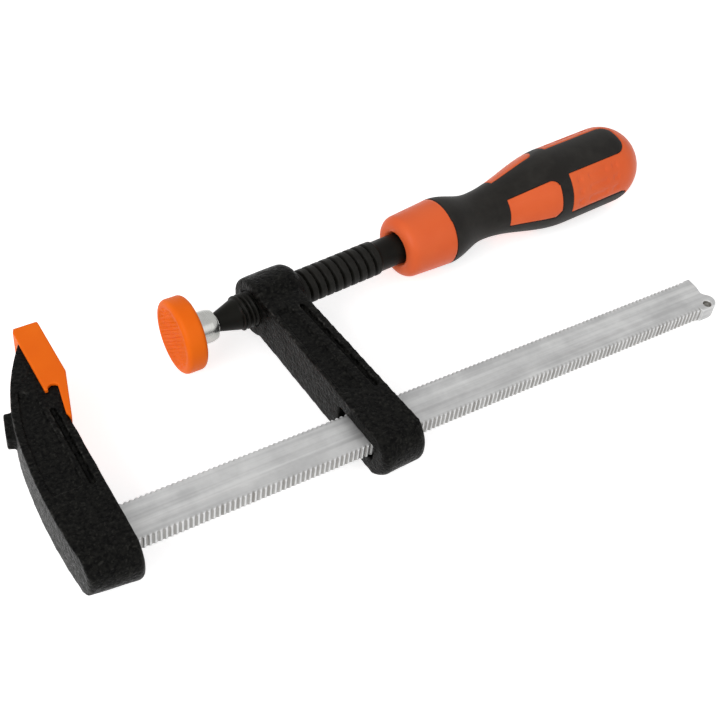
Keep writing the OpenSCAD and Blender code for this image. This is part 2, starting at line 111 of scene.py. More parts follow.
HANDLE_L = 100.7
COLLAR_L = 17
COLLAR_FRONT_R = 10
COLLAR_R = 11
COLLAR_ROUND = 3
RECESS_R = 5.8
RECESS_DEPTH = 1.6
HANDLE_BORE_R = 5
WAIST_R = 8
WAIST_U = 31.6
SWELL_R = 13.3
SWELL_U = 65
BUTT_L = 13
BUTT_U = HANDLE_L - BUTT_L
GRIP_T = 1.6
PANEL_U = 40.7
RING_U = 59.8
RING_W = 4.5
FINGER_END = 90.8
FINGER_HALF = math.radians(29)
FINGER_ROUND = 4.2
FINGER_TURN = math.radians(95)
FINGERS = 3

# ---- Details that only the scene has, in millimetres ----
# The teeth's notches on the bar's wide faces: depth, how far they run in, and how much farther near the end
NOTCH_DEPTH = 0.28
NOTCH_RUN = 1.0
NOTCH_RUN_MORE = 0.5
# How much of each notch is filled on the bar's inner edge
INNER_FILL = 0.2
# The smooth trough of the bar's groove: depth, width of its sloping side, and where it ends and fades out
TROUGH_DEPTH = 0.24
TROUGH_SLOPE_W = 1.8
TROUGH_END_X = 184
TROUGH_FADE = 14
# The marked value of the bar's clean faces: less is darker, in the teeth's notches and the punch hole, more is
# scuffed bright
BAR_CLEAN = 0.4

# The cast skin's slow waves, lumps and grain: height, size and the shift of the noise
CAST_SKIN = ((0.10, 7, 0), (0.045, 2.2, 9), (0.03, 0.9, 17))
# Painted highlights on the fixed arm's back, pale patches where the uneven paint catches the light: middle and
# size
HIGHLIGHT_SPOTS = (((-21, -47.3, -4.5), (2, 3.6, 1.6)), ((-21, -55, -5.5), (2, 3.6, 1.5)))

# The diamond pattern of the jaw and the pad: pitch, depth, and where it lies on the jaw's face
DIAMOND_PITCH = 1.6
JAW_DIAMOND_DEPTH = 0.24
JAW_DIAMOND_LOW_Y = -6.2
JAW_DIAMOND_HIGH_Y = 12.6
JAW_DIAMOND_HALF_W = 7.6
PAD_DIAMOND_DEPTH = 0.32
# The round of the pad's rim, and the gap between its cap and its steel plate
PAD_ROUND = 1.5
PLATE_GAP = 0.05

# The thread's groove: depth and half its width as a share of the pitch. The same for the second start,
# whose depth is a share of the first one's, and which ends near the jaw.
THREAD_DEPTH = 0.85
THREAD_HALF_SHARE = 0.22
SECOND_HALF_SHARE = 0.2
SECOND_DEPTH_SHARE = 0.7
SECOND_END_X = -6
SECOND_FADE = 1.5

# The moulded line around the grip, and the fillet where its fingers meet the ring
SEAM_DEPTH = 0.26
RING_FILLET = 3.4
# The cells pressed into the rear panels: rows and half their width in degrees, and spans along the handle
CELL_DEPTH = 0.36
CELL_ROWS = (-17, 0, 17)
CELL_HALF_ROW = 4.2
CELL_SPANS = ((66.6, 69.2), (71.6, 80.3), (82.3, 85.2))
HANDLE_COLUMNS = 150

# ---- Stage and light ----
FLOOR_COLOR = (0.92, 0.92, 0.92, 1)
FLOOR_GLOW = 0.62
# Half the floor's width in metres, and its gap below the object in millimetres
FLOOR_HALF = 3.0
FLOOR_GAP = 0.05
WORLD_LEVEL = 0.5
BACKGROUND_LEVEL = 1.0
# Each lamp's name, place and side in metres, and power in watts
LAMPS = (("key", (-0.70, -0.32, 0.60), 0.6, 5.2), ("fill", (0.35, -0.80, 0.60), 0.7, 1.0))

# ---- Where things are ----
BODY_OF = {node: body for body, nodes in frame["record"]["behaviour"]["bodies"].items() for node in nodes}
SLOT_OF = {part["node"]: part["material_slot"] for part in frame["record"]["subparts"]}
joints = {joint["name"]: joint for joint in frame["joints"]}
screw_axis = -Vector(joints["screw_turn"]["axis"])
up_axis = Vector((0, 0, 1))
ARM = Matrix((screw_axis, up_axis.cross(screw_axis), up_axis)).transposed().to_4x4()
ARM.translation = Vector(joints["screw_turn"]["pos_m"])
HANDLE = ARM @ Matrix.Translation((SHANK_X * MM, 0, 0))
PAD = Matrix.Translation(joints["pad_tilt"]["pos_m"])


def add_camera():
    back = Vector((
        math.sin(CAM_AZIMUTH) * math.cos(CAM_ELEVATION),
        -math.cos(CAM_AZIMUTH) * math.cos(CAM_ELEVATION),
        math.sin(CAM_ELEVATION),
    ))
    level = (-back).cross(up_axis).normalized()
    upright = level.cross(-back)
    right = math.cos(CAM_ROLL) * level + math.sin(CAM_ROLL) * upright
    up = -math.sin(CAM_ROLL) * level + math.cos(CAM_ROLL) * upright
    camera = bpy.data.objects.new("camera", bpy.data.cameras.new("camera"))
    camera.data.lens = CAM_LENS
    camera.data.clip_start = 0.01
    place = Matrix((right, up, back)).transposed().to_4x4()
    place.translation = CAM_TARGET + back * CAM_DISTANCE
    camera.matrix_world = place
    bpy.context.scene.collection.objects.link(camera)
    bpy.context.scene.camera = camera


# ---- Materials ----

class Shader:
    """A material around one Principled BSDF, with short calls to add nodes."""

    def __init__(self, name, **sockets):
        self.material = bpy.data.materials.new(name)
        self.material.use_nodes = True
        self.tree = self.material.node_tree
        self.bsdf = self.tree.nodes["Principled BSDF"]
        for socket, value in sockets.items():
            self.bsdf.inputs[socket.replace("_", " ")].default_value = value
        self.place = self.add("ShaderNodeTexCoord").outputs["Object"]

    def add(self, kind, settings=None, **inputs):
        node = self.tree.nodes.new(kind)
        for key, value in (settings or {}).items():
            setattr(node, key, value)
        for socket, value in inputs.items():
            self.put(node.inputs[socket.replace("_", " ")], value)
        return node

    def put(self, socket, value):
        if isinstance(value, bpy.types.NodeSocket):
            self.tree.links.new(value, socket)
        else:
            socket.default_value = value

    def noise(self, size, detail=3.0, rough=0.55, stretch=(1, 1, 1)):
        """Noise with features of a size in millimetres, stretched along the axes."""
        scaled = self.add("ShaderNodeMapping", Vector=self.place, Scale=[1 / s for s in stretch])
        return self.add("ShaderNodeTexNoise", Vector=scaled.outputs[0], Scale=1 / (size * MM),
                        Detail=detail, Roughness=rough).outputs["Fac"]

    def ramp(self, value, low, high, out_low=0.0, out_high=1.0):
        return self.add("ShaderNodeMapRange", Value=value, **{
            "From_Min": low, "From_Max": high, "To_Min": out_low, "To_Max": out_high}).outputs[0]

    def math(self, operation, a, b):
        node = self.add("ShaderNodeMath", {"operation": operation})
        self.put(node.inputs[0], a)
        self.put(node.inputs[1], b)
        return node.outputs[0]

    def mix(self, share, a, b):
        node = self.add("ShaderNodeMix", {"data_type": "RGBA"})
        self.put(node.inputs[0], share)
        self.put(node.inputs[6], a)
        self.put(node.inputs[7], b)
        return node.outputs[2]

    # The mark on points for a paler colour: scuffing, and on the castings and the screw's crests also painted
    # highlight; on the bar, low values make the notches and the punch hole darker
    def wear_and_highlight(self):
        return self.add("ShaderNodeAttribute", {"attribute_name": "wear_and_highlight"}).outputs["Fac"]

    def bump(self, height, distance, strength=1.0, below=None):
        node = self.add("ShaderNodeBump", Height=height, Distance=distance * MM, Strength=strength)
        if below is not None:
            self.put(node.inputs["Normal"], below)
        self.put(self.bsdf.inputs["Normal"], node.outputs[0])
        return node.outputs[0]


def casting_material():
    shader = Shader("painted_casting", Specular_IOR_Level=0.05)
    grain = shader.noise(1.1, 3, 0.6)
    blotch = shader.noise(5, 3)
    # Pale specks: partly dust, partly painted glints on the paint's orange peel
    speck = shader.ramp(shader.noise(0.8, 2), 0.58, 0.66)
    # The pale grey below is partly metal showing through the paint at scuffed edges and partly painted highlight:
    # glossy lines along the relief's edges, and the painted highlight patches on the fixed arm's back
    patch = shader.ramp(shader.noise(4, 3), 0.48, 0.66)
    bare_and_glossy = shader.math("MULTIPLY", patch, shader.ramp(grain, 0.42, 0.68))
    edge = shader.math("MULTIPLY", shader.wear_and_highlight(), bare_and_glossy)
    cloudy = shader.math("MULTIPLY", blotch, 0.2)
    shade = shader.math("ADD", shader.ramp(grain, 0.42, 0.62, 0, 0.8), cloudy)
    paint = shader.mix(shade, (0.0002, 0.0002, 0.0002, 1), (0.0095, 0.0093, 0.0082, 1))
    dust_and_glints = shader.mix(shader.math("MULTIPLY", speck, 0.25), paint, (0.05, 0.049, 0.043, 1))
    pale_marked = shader.mix(edge, dust_and_glints, (0.11, 0.107, 0.10, 1))
    shader.put(shader.bsdf.inputs["Base Color"], pale_marked)
    shader.put(shader.bsdf.inputs["Roughness"], shader.ramp(grain, 0.35, 0.65, 0.26, 0.52))
    under = shader.bump(blotch, 0.25)
    shader.bump(grain, 0.48, below=under)
    return shader.material


def plastic_material(name, roughness, grain_size, color, deep):
    shader = Shader(name, Specular_IOR_Level=0.14, Subsurface_Weight=0.04, Subsurface_Scale=0.8 * MM)
    shader.bsdf.inputs["Subsurface Radius"].default_value = (1.0, 0.35, 0.1)
    flow = shader.noise(14, 2)
    grain = shader.noise(grain_size, 3)
    shader.put(shader.bsdf.inputs["Base Color"], shader.mix(shader.ramp(flow, 0.35, 0.65), deep, color))
    uneven = shader.ramp(grain, 0.3, 0.7, roughness - 0.05, roughness + 0.07)
    shader.put(shader.bsdf.inputs["Roughness"], uneven)
    shader.bump(grain, 0.02)
    return shader.material


def grip_material():
    shader = Shader("black_grip", Specular_IOR_Level=0.12)
    dust = shader.noise(7, 4)
    grain = shader.noise(0.35, 2)
    color = shader.mix(shader.ramp(dust, 0.4, 0.75), (0.014, 0.0125, 0.011, 1), (0.028, 0.026, 0.023, 1))
    shader.put(shader.bsdf.inputs["Base Color"], color)
    shader.put(shader.bsdf.inputs["Roughness"], shader.ramp(dust, 0.3, 0.7, 0.46, 0.6))
    shader.bump(grain, 0.03)
    return shader.material


def plated_material():
    shader = Shader("plated_steel", Metallic=0.5)
    brushed = shader.noise(0.5, 4, stretch=(24, 1, 1))
    cloud = shader.noise(9, 4, 0.6)
    streak = shader.noise(1.5, 2, stretch=(60, 1, 1))
    color = shader.mix(shader.ramp(shader.math("ADD", cloud, streak), 0.75, 1.25),
                       (0.45, 0.45, 0.45, 1), (0.64, 0.64, 0.635, 1))
    pale_marked = shader.mix(shader.ramp(shader.wear_and_highlight(), BAR_CLEAN, 1, 0, 0.6), color, (0.80, 0.80, 0.80, 1))
    # Darker colour in the teeth's notches and the punch hole
    dark_in_hollows = shader.mix(shader.ramp(shader.wear_and_highlight(), 0, BAR_CLEAN), (0.22, 0.21, 0.195, 1), pale_marked)
    shader.put(shader.bsdf.inputs["Base Color"], dark_in_hollows)
    shader.put(shader.bsdf.inputs["Roughness"], shader.ramp(brushed, 0.3, 0.7, 0.36, 0.52))
    shader.bump(brushed, 0.012)
    return shader.material


def screw_material():
    shader = Shader("black_screw", Specular_IOR_Level=0.08)
    oil = shader.noise(4, 4)
    scratch = shader.noise(0.3, 3, stretch=(1, 6, 6))
    color = shader.mix(oil, (0.003, 0.0029, 0.0023, 1), (0.010, 0.0096, 0.0075, 1))
    # Paler crests: partly scuffed metal, partly painted highlight along them
    rubbed_and_highlit = shader.math("MULTIPLY", shader.wear_and_highlight(), shader.ramp(scratch, 0.3, 0.7, 0.3, 1.0))
    shader.put(shader.bsdf.inputs["Base Color"], shader.mix(rubbed_and_highlit, color, (0.022, 0.021, 0.019, 1)))
    shader.put(shader.bsdf.inputs["Roughness"], shader.ramp(oil, 0.3, 0.7, 0.34, 0.5))
    shader.bump(scratch, 0.015)
    return shader.material


def bright_material():
    shader = Shader("bright_steel", Metallic=1.0)
    haze = shader.noise(2.5, 4)
    rings = shader.noise(0.25, 2, stretch=(1, 8, 8))
    color = shader.mix(haze, (0.36, 0.36, 0.34, 1), (0.52, 0.52, 0.50, 1))
    shader.put(shader.bsdf.inputs["Base Color"], color)
    shader.put(shader.bsdf.inputs["Roughness"], shader.ramp(rings, 0.3, 0.7, 0.20, 0.30))
    shader.bump(rings, 0.006)
    return shader.material


MATERIALS = {
    "painted_casting": casting_material(),
    "orange_cap": plastic_material(
        "orange_cap", roughness=0.5, grain_size=0.5,
        color=(0.95, 0.165, 0.004, 1), deep=(0.90, 0.145, 0.003, 1)),
    "orange_handle": plastic_material(
        "orange_handle", roughness=0.38, grain_size=0.9,
        color=(0.86, 0.148, 0.042, 1), deep=(0.82, 0.130, 0.035, 1)),
    "black_grip": grip_material(),
    "plated_steel": plated_material(),
    "black_screw": screw_material(),
    "bright_steel": bright_material(),
}


# ---- Mesh tools ----

def stand_in(mesh, node, sharp=35):
    """Shows a mesh in place of a CAD node, with that node's body, slot and material."""
    piece = bpy.data.objects.new(node + "_skin", mesh)
    bpy.context.scene.collection.objects.link(piece)
    mesh.shade_smooth()
    mesh.set_sharp_from_angle(angle=math.radians(sharp))
    mesh.materials.clear()
    mesh.materials.append(MATERIALS[SLOT_OF[node]])
    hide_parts(node)
    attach(piece, BODY_OF[node])
    return piece


def mesh_of(name, points, faces, place):
    """A mesh from points in millimetres in a local frame."""
    mesh = bpy.data.meshes.new(name)
    mesh.from_pydata([tuple(p) for p in np.asarray(points) * MM], [], faces)
    build = bmesh.new()
    build.from_mesh(mesh)
    bmesh.ops.recalc_face_normals(build, faces=build.faces)
    build.to_mesh(mesh)
    build.free()
    mesh.transform(place)
    return mesh


def set_wear_and_highlight(mesh, values):
    attribute = mesh.attributes.new("wear_and_highlight", "FLOAT", "POINT")
    attribute.data.foreach_set("value", np.clip(values, 0, 1).astype(np.float32))


def points_of(mesh, key="co"):
    values = np.empty(len(mesh.vertices) * 3, np.float32)
    if key == "co":
        mesh.vertices.foreach_get("co", values)
    else:
        mesh.vertex_normals.foreach_get("vector", values)
    return values.reshape(-1, 3).astype(float)


def averaged(values, edges, rounds):
    """Each point's values averaged over its neighbours, over and over."""
    start = np.concatenate((edges[:, 0], edges[:, 1]))
    end = np.concatenate((edges[:, 1], edges[:, 0]))
    links = np.bincount(start, minlength=len(values))[:, None]
    for _ in range(rounds):
        sums = [np.bincount(start, column[end], len(values)) for column in values.T]
        values = np.column_stack(sums) / links
    return values


def rough(points, size, shift):
    """Smooth noise from about -1 to 1 with features of a size in millimetres."""
    return np.array([noise.noise(Vector(p) / size + Vector((shift, shift, shift))) for p in points])


def step(values, low, high):
    t = np.clip((values - low) / (high - low), 0, 1)
    return t * t * (3 - 2 * t)


def remeshed(node, voxel, rounds, shape, reach, gain, keep):
    """Remeshes a CAD node evenly, rounds its edges, shapes it, marks its convex edges as scuffed, and on the
    castings as painted highlight too, and thins its faces.
    """
    source = bpy.data.objects.new("source", frame["nodes"][node].data.copy())
    bpy.context.scene.collection.objects.link(source)
    remesh = source.modifiers.new("remesh", "REMESH")
    remesh.mode = "VOXEL"
    remesh.voxel_size = voxel * MM
    smooth = source.modifiers.new("smooth", "SMOOTH")
    smooth.iterations = rounds
    mesh = bpy.data.meshes.new_from_object(source.evaluated_get(bpy.context.evaluated_depsgraph_get()))
    source.modifiers.clear()
    points = points_of(mesh) / MM
    normals = points_of(mesh, "normal")
    edges = np.empty(len(mesh.edges) * 2, np.int32)
    mesh.edges.foreach_get("vertices", edges)
    edges = edges.reshape(-1, 2)
    moved, patches = shape(points, normals)
    bulge = ((moved - averaged(moved, edges, reach)) * normals).sum(1)
    mesh.vertices.foreach_set("co", (moved * MM).astype(np.float32).ravel())
    mesh.update()
    set_wear_and_highlight(mesh, step(bulge, 0.25 * gain, gain) + patches)
    source.data = mesh
    thin = source.modifiers.new("thin", "DECIMATE")
    thin.ratio = keep
    result = bpy.data.meshes.new_from_object(source.evaluated_get(bpy.context.evaluated_depsgraph_get()))
    bpy.data.objects.remove(source)
    return result


def turned(rows, steps, radius=None):
    """Points and faces of rings about x. rows are (x, r), and a row of radius 0 is one point."""
    points = []
    rings = []
    for x, r in rows:
        count = steps if r > 0 else 1
        angles = np.arange(count) * TURN / steps
        radii = radius(x, r, angles) if radius and r > 0 else np.full(count, float(r))
        rings.append(range(len(points), len(points) + count))
        points.extend(np.column_stack((np.full(count, x), radii * np.cos(angles), radii * np.sin(angles))))
    faces = []
    for low, high in zip(rings, rings[1:]):
        for i in range(steps):
            j = (i + 1) % steps
            corners = (low[i % len(low)], low[j % len(low)], high[j % len(high)], high[i % len(high)])
            faces.append(list(dict.fromkeys(corners)))
    return points, faces


def arc(cx, cr, r, a0, a1, steps):
    """Rows of (x, r) along an arc, with angles in degrees from +x."""
    angles = np.radians(np.linspace(a0, a1, steps + 1))
    return [(cx + r * math.cos(a), cr + r * math.sin(a)) for a in angles]


def round_corner(across, up, radius):
    """Pulls points onto a round corner. across and up are their distances inside its two sides."""
    a = np.maximum(radius - across, 0)
    b = np.maximum(radius - up, 0)
    far = np.hypot(a, b)
    pull = np.where((a > 0) & (b > 0) & (far > radius), 1 - radius / np.maximum(far, 1e-6), 0)
    return a * pull, b * pull


# ---- Bar ----

def bar_shape(points, normals):
    """Runs the teeth's notches out on the wide faces, smooths the groove and marks the notches and the punch hole
    darker.
    """
    x, y, z = points.T
    edge = np.minimum(y - BAR_OUT_Y, BAR_IN_Y - y)
    phase = (x - TEETH_START_X) / TOOTH_PITCH
    notch = 0.5 - 0.5 * np.cos(TURN * (phase - 0.02))
    toothed = (x > TEETH_START_X) & (x < TEETH_END_X)
    flat = np.abs(normals[:, 2]) > 0.5
    run = NOTCH_RUN + NOTCH_RUN_MORE * step(x, 60, 180)
    near = np.clip(1 - edge / run, 0, 1)
    uneven = 0.8 + 0.5 * rough(np.column_stack((x, np.zeros((len(x), 2)))), 2.3, 5)
    sink = NOTCH_DEPTH * uneven * notch * near ** 1.5 * toothed * flat
    in_notch = step(y, BAR_IN_Y - 0.5, BAR_IN_Y - 0.3) * step(BAR_IN_Y - y, 0.05, 0.2)
    off_groove = np.abs(y - GROOVE_Y)
    trough = step(GROOVE_HALF_W + TROUGH_SLOPE_W / 2 - off_groove, 0, TROUGH_SLOPE_W)
    trough *= step(-x, -TROUGH_END_X, TROUGH_FADE - TROUGH_END_X)
    level = BAR_HALF_T - TROUGH_DEPTH * trough
    in_groove = (off_groove < GROOVE_HALF_W + 1) & (x > TEETH_START_X) & (x < TROUGH_END_X + 2)
    moved = points.copy()
    moved[:, 1] += INNER_FILL * notch * in_notch
    moved[:, 2] = np.where(in_groove, np.sign(z) * level, z - np.sign(z) * sink)
    # Darker in the teeth's notches and in the punch hole
    hollow_dark = np.where(flat, near * step(notch, 0.4, 0.85), 0.9 * step(notch, 0.15, 0.6))
    hollow_dark *= uneven * toothed
    hollow_dark += (np.hypot(x - PUNCH[0], y - PUNCH[1]) < PUNCH_R) & (z > 0) & (z < BAR_HALF_T - 0.2)
    return moved, BAR_CLEAN * (1 - np.clip(hollow_dark, 0, 1))


def build_bar():
    mesh = remeshed("bar", voxel=0.2, rounds=3, shape=bar_shape, reach=6, gain=0.10, keep=0.4)
    stand_in(mesh, "bar", 40)


# ---- Castings ----

def cast_surface(points, normals, seed):
    """The skin of a sand casting: slow waves, lumps and grain."""
    height = sum(high * rough(points, size, seed + shift) for high, size, shift in CAST_SKIN)
    return points + normals * height[:, None]


def highlight_spot(points, middle, size):
    """1 in the middle of a painted highlight spot, falling to 0 at its edge. middle and size are (x, y, z)."""
    away = np.sqrt((((points - np.array(middle)) / np.array(size)) ** 2).sum(1))
    return 1 - step(away, 0.5, 1)


def fixed_shape(points, normals):
    moved = cast_surface(points, normals, 3)
    x, y, z = points.T
    seat = (np.abs(z) < 3.2) & (y > BAR_OUT_Y - 0.8) & (y < BAR_IN_Y + 0.8) & (x > -20)
    moved[seat] = points[seat]
    low = HEEL_ROUND - np.sqrt(HEEL_ROUND ** 2 - z ** 2) + (FIXED_FRONT_X - x) * math.tan(FIXED_HEEL_SLOPE)
    back, lift = round_corner(FIXED_FRONT_X - x, y - FIXED_LOW_Y - low, HEEL_CORNER)
    moved[:, 0] -= back
    moved[:, 1] += lift
    # Painted highlights: pale patches on the fixed arm's back, where the uneven paint catches the light
    highlight_spots = sum(highlight_spot(points, middle, size) for middle, size in HIGHLIGHT_SPOTS)
    return moved, 1.2 * highlight_spots


def sliding_shape(points, normals):
    moved = cast_surface(points, normals, 31)
    local = (points * MM - np.array(ARM.translation)) @ np.array(ARM.to_3x3()) / MM
    radius = np.hypot(local[:, 1], local[:, 2])
    bore = radius < BORE_R + 0.25
    slot = (np.abs(points[:, 2]) < 3.1) & (np.abs(local[:, 0]) < 7.0)
    slot &= (local[:, 1] < -44) & (local[:, 1] > -65)
    moved[bore | slot] = points[bore | slot]
    push = np.where(bore, np.maximum(0, BORE_R + 0.02 - radius), 0) / np.maximum(radius, 0.1)
    low = HEEL_ROUND - np.sqrt(HEEL_ROUND ** 2 - np.clip(points[:, 2], -7.6, 7.6) ** 2)
    across = ARM_HALF_W - np.abs(local[:, 0])
    back, lift = round_corner(across, local[:, 1] - ARM_LOW_Y - low, HEEL_CORNER)
    back *= -np.sign(local[:, 0]) * (local[:, 1] < 0)
    outward = np.column_stack((back, local[:, 1] * push + lift, local[:, 2] * push))
    return moved + outward @ np.array(ARM.to_3x3()).T, np.zeros(len(points))


def build_castings():
    for node, shape in (("fixed_arm", fixed_shape), ("sliding_arm", sliding_shape)):
        mesh = remeshed(node, voxel=0.32, rounds=8, shape=shape, reach=5, gain=0.16, keep=0.5)
        stand_in(mesh, node, 60)


# ---- Jaw cap and pad ----

def diamonds(a, b):
    """Height of a fine diamond pattern, from 0 in its grooves to 1."""
    one_way = np.abs(np.sin(math.pi * (a + b) / DIAMOND_PITCH))
    other_way = np.abs(np.sin(math.pi * (a - b) / DIAMOND_PITCH))
    return step(np.minimum(one_way, other_way), 0.1, 0.6)


def cap_shape(points, normals):
    x, y, z = points.T
    face = (normals[:, 0] > 0.8) & (x > -1) & (np.abs(z) < JAW_DIAMOND_HALF_W)
    face &= (y > JAW_DIAMOND_LOW_Y) & (y < JAW_DIAMOND_HIGH_Y)
    moved = points.copy()
    moved[:, 0] -= np.where(face, JAW_DIAMOND_DEPTH * (1 - diamonds(y, z)), 0)
    return moved, np.zeros(len(points))


def build_jaw_cap():
    mesh = remeshed("fixed_jaw_cap", voxel=0.2, rounds=4, shape=cap_shape, reach=4, gain=0.3, keep=0.5)
    stand_in(mesh, "fixed_jaw_cap", 50)


def build_pad():
    back_x = -BALL_OUT
    face_x = back_x - PAD_T
    plate_x = face_x + PAD_FACE_T
    seat_x = plate_x + PLATE_T + PLATE_GAP
    hole_r = HUB_R + PLATE_GAP
    flat_r = PAD_R - PAD_ROUND

    rows = [(face_x, 0)] + [(face_x, r) for r in np.arange(0.4, flat_r, 0.3)]
    rows += arc(face_x + PAD_ROUND, flat_r, PAD_ROUND, 180, 90, 7)
    rows += arc(back_x - PAD_ROUND, flat_r, PAD_ROUND, 90, 0, 7)
    rows += [(back_x, hole_r), (seat_x, hole_r), (seat_x, PLATE_R), (plate_x, PLATE_R), (plate_x, 0)]
    points, faces = turned(rows, 160)
    points = np.array(points)
    radius = np.hypot(points[:, 1], points[:, 2])
    face = (points[:, 0] < face_x + 1e-6) & (radius < flat_r - 0.1)
    fade = step(flat_r - 0.3 - radius, 0, 0.6)
    groove = 1 - diamonds(points[:, 1], points[:, 2])
    points[:, 0] += np.where(face, PAD_DIAMOND_DEPTH * fade * groove, 0)
    stand_in(mesh_of("pad_cap", points, faces, PAD), "pad_cap", 50)

    edge_r = PLATE_R - PLATE_GAP
    mouth_x = HUB_MOUTH - 0.15
    rows = [(plate_x, 0), (plate_x, edge_r), (plate_x + PLATE_T, edge_r), (plate_x + PLATE_T, HUB_R)]
    rows += [(back_x, HUB_R)] + arc(0, 0, HUB_R, 90, math.degrees(math.acos(HUB_MOUTH / HUB_R)), 10)
    rows += [(mouth_x, math.sqrt(SOCKET_R ** 2 - mouth_x ** 2))]
    rows += arc(0, 0, SOCKET_R, 60, 175, 18) + [(-SOCKET_R, 0)]
    points, faces = turned(rows, 96)
    stand_in(mesh_of("swivel_plate", points, faces, PAD), "swivel_plate", 40)


# ---- Spindle ----

def thread_depth(x, angles):
    """Depth of the screw's groove at x and an angle, with run-outs and a second start on the jaw side."""
    phase = ((x - THREAD_IN_X) / SCREW_PITCH - angles / TURN) % 1
    groove = step(np.clip(1 - np.abs(phase - 0.5) / THREAD_HALF_SHARE, 0, 1), 0, 1)
    second = step(np.clip(1 - np.abs((phase + 0.5) % 1 - 0.5) / SECOND_HALF_SHARE, 0, 1), 0, 1)
    second_end = step(-np.array(x), -SECOND_END_X, SECOND_FADE - SECOND_END_X)
    groove = np.maximum(groove, SECOND_DEPTH_SHARE * second * second_end)
    start = step(np.array(x), THREAD_IN_X - 0.2, THREAD_IN_X + 0.3)
    end = step(-np.array(x), 0.9 - THREAD_OUT_X, 2.6 - THREAD_OUT_X)
    return groove * start * end


def build_spindle():
    stations = np.arange(THREAD_IN_X, THREAD_OUT_X, 0.18)

    def radius(x, r, angles):
        if not THREAD_IN_X < x < THREAD_OUT_X:
            return np.full(len(angles), float(r))
        return r - THREAD_DEPTH * thread_depth(x, angles)

    def crest(x):
        out = step(np.array(x), THREAD_OUT_X - 0.8, THREAD_OUT_X)
        lead = step(-np.array(x), -THREAD_IN_X - 0.7, -THREAD_IN_X)
        return SCREW_R - (SCREW_R - SHANK_R) * out - (SCREW_R - CONE_R) * lead

    cone_l = THREAD_IN_X - NECK_X
    tang_x = SHANK_X + TANG_L
    rows = [(NECK_X, 0), (NECK_X, NECK_R)]
    rows += [(NECK_X + cone_l * t, NECK_R + (CONE_R - NECK_R) * t) for t in np.linspace(0.1, 0.95, 8)]
    rows += [(x, float(crest(x))) for x in stations]
    rows += [(x, SHANK_R) for x in np.linspace(THREAD_OUT_X, tang_x, 12)] + [(tang_x, 0)]
    points, faces = turned(rows, 72, radius)
    radii = np.hypot([p[1] for p in points], [p[2] for p in points])
    mesh = mesh_of("spindle", points, faces, ARM)
    x = np.array([p[0] for p in points])
    threaded = (x > THREAD_IN_X + 1) & (x < THREAD_OUT_X - 1)
    # The crests are marked paler: scuffing and painted highlight
    set_wear_and_highlight(mesh, np.where(threaded, step(radii, SCREW_R - 0.12, SCREW_R), 0) * 0.8)
    stand_in(mesh, "spindle", 50)


# ---- Handle ----

def handle_r(u):
    """Outer radius of the handle at u from its front."""
    u = np.asarray(u, float)

    def eased(a, b, u0, u1):
        return a + (b - a) * (1 - np.cos(math.pi * np.clip((u - u0) / (u1 - u0), 0, 1))) / 2

    collar = COLLAR_FRONT_R + (COLLAR_R - COLLAR_FRONT_R) * u / COLLAR_L
    lip = collar - COLLAR_ROUND + np.sqrt(np.maximum(0, COLLAR_ROUND ** 2 - (COLLAR_ROUND - u) ** 2))
    butt = SWELL_R * np.sqrt(np.maximum(0, 1 - (np.maximum(u - BUTT_U, 0) / BUTT_L) ** 2))
    return np.select(
        [u < COLLAR_ROUND, u < COLLAR_L, u < WAIST_U, u < SWELL_U],
        [lip, collar, eased(COLLAR_R, WAIST_R, COLLAR_L, WAIST_U), eased(WAIST_R, SWELL_R, WAIST_U, SWELL_U)],
        butt,
    )


def panel_angle(angle, shift):
    """Angle from the nearest finger's middle, or from the nearest panel's when shifted."""
    part = TURN / FINGERS
    return (angle - FINGER_TURN - shift * part / 2 + part / 2) % part - part / 2


def grip_side(u, angle):
    """Signed distance in millimetres to the grip's outline: negative on the grip."""
    ring_mid = RING_U + RING_W / 2
    sleeve = np.maximum(COLLAR_L - u, u - PANEL_U)
    ring = np.abs(u - ring_mid) - RING_W / 2
    across = np.abs(panel_angle(angle, 0)) * handle_r(u) - FINGER_HALF * handle_r(u) + FINGER_ROUND
    ahead = u - FINGER_END + FINGER_ROUND
    beyond = np.hypot(np.maximum(across, 0), np.maximum(ahead, 0))
    finger = beyond + np.minimum(np.maximum(across, ahead), 0) - FINGER_ROUND
    finger = np.where(u < COLLAR_L, 99, finger)
    corner = np.hypot(np.maximum(RING_FILLET - finger, 0), np.maximum(RING_FILLET - ring, 0))
    joined = np.maximum(RING_FILLET, np.minimum(finger, ring)) - corner
    return np.minimum(sleeve, np.where(u < ring_mid, joined, np.minimum(finger, ring)))


